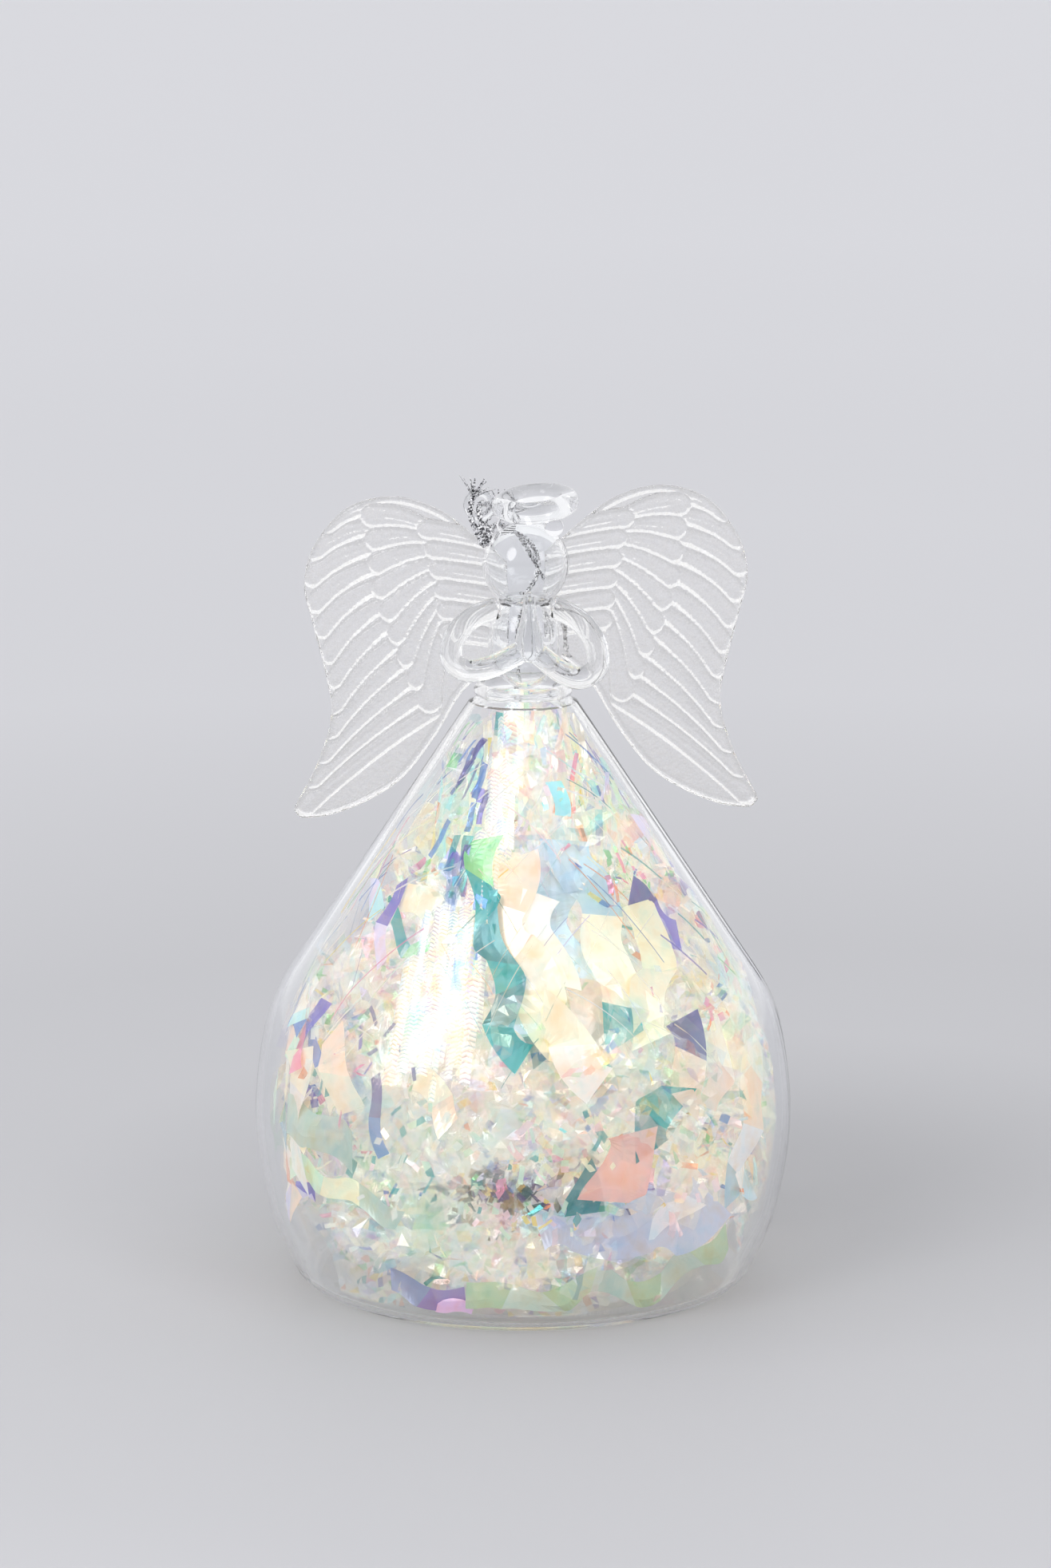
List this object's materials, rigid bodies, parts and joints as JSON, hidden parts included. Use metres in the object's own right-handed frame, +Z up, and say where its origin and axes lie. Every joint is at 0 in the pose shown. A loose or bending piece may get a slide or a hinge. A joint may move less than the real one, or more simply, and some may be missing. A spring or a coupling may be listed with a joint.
{
  "type": "light-up glass angel figurine",
  "caption": "Clear blown glass angel with pressed feather wings, praying hands and halo; the bell skirt holds iridescent film and a plug-in light unit; silver hanging cord.",
  "frame": {"origin": "centre of the foot, on the table", "axes": "+Z up through the head, the figure faces -Y, +X is the viewer's right"},
  "size_m": [0.0888, 0.0888, 0.1337],
  "materials": {
    "skirt_glass": "clear, thin blown glass with a faint pearl sheen",
    "bulb_glass": "clear, thin blown glass",
    "rod_glass": "clear, flame-worked rod",
    "pressed_glass": "clear, pressed with feather relief",
    "iridescent_film": "thin dichroic film, pearly with pink, teal and gold flashes",
    "silver_cord": "twisted silver metallic yarn",
    "copper_wire": "enamelled",
    "clear_resin": "clear drop of resin",
    "white_plastic": "moulded, satin",
    "silicone": "translucent white silicone",
    "glue": "set hot-melt glue",
    "contact_metal": "spring brass",
    "cell_steel": "plated steel",
    "board": "solder mask",
    "chip": "matte",
    "switch_metal": "stamped tinplate",
    "black_plastic": "moulded"
  },
  "bodies": {
    "figurine": {"button_cell_1": "cell_steel", "button_cell_2": "cell_steel", "button_cell_3": "cell_steel", "circuit_board": "board", "cord_knot": "silver_cord", "cord_tails": "silver_cord", "film_column": "iridescent_film", "film_drape": "iridescent_film", "film_heap": "iridescent_film", "halo_ring": "rod_glass", "halo_seal_left": "rod_glass", "halo_seal_right": "rod_glass", "hanging_cord": "silver_cord", "hanging_eye": "rod_glass", "head_globe": "bulb_glass", "led_beads": "clear_resin", "left_arm": "rod_glass", "left_hand": "rod_glass", "left_wing": "pressed_glass", "light_wire": "copper_wire", "neck_collar": "rod_glass", "plug_cover": "white_plastic", "plug_gasket": "silicone", "plug_housing": "white_plastic", "resistor": "chip", "right_arm": "rod_glass", "right_hand": "rod_glass", "right_wing": "pressed_glass", "skirt_shell": "skirt_glass", "switch_case": "switch_metal", "torso_bulb": "bulb_glass", "upper_contact": "contact_metal", "waist_ring": "rod_glass", "wing_seal_left": "rod_glass", "wing_seal_right": "rod_glass", "wire_gland": "glue"},
    "battery_lid": {"battery_lid": "white_plastic", "lid_contact": "contact_metal"},
    "switch_slider": {"switch_slider": "black_plastic"}
  },
  "joints": [
    {"name": "lid_twist", "type": "hinge", "parent": "figurine", "child": "battery_lid", "pos_m": [0, 0.0026, 0.002], "axis": [0, 0, 1], "range_deg": [0, 40]},
    {"name": "switch_slide", "type": "slide", "parent": "figurine", "child": "switch_slider", "axis": [1, 0, 0], "range_m": [0, 0.0024]}
  ]
}
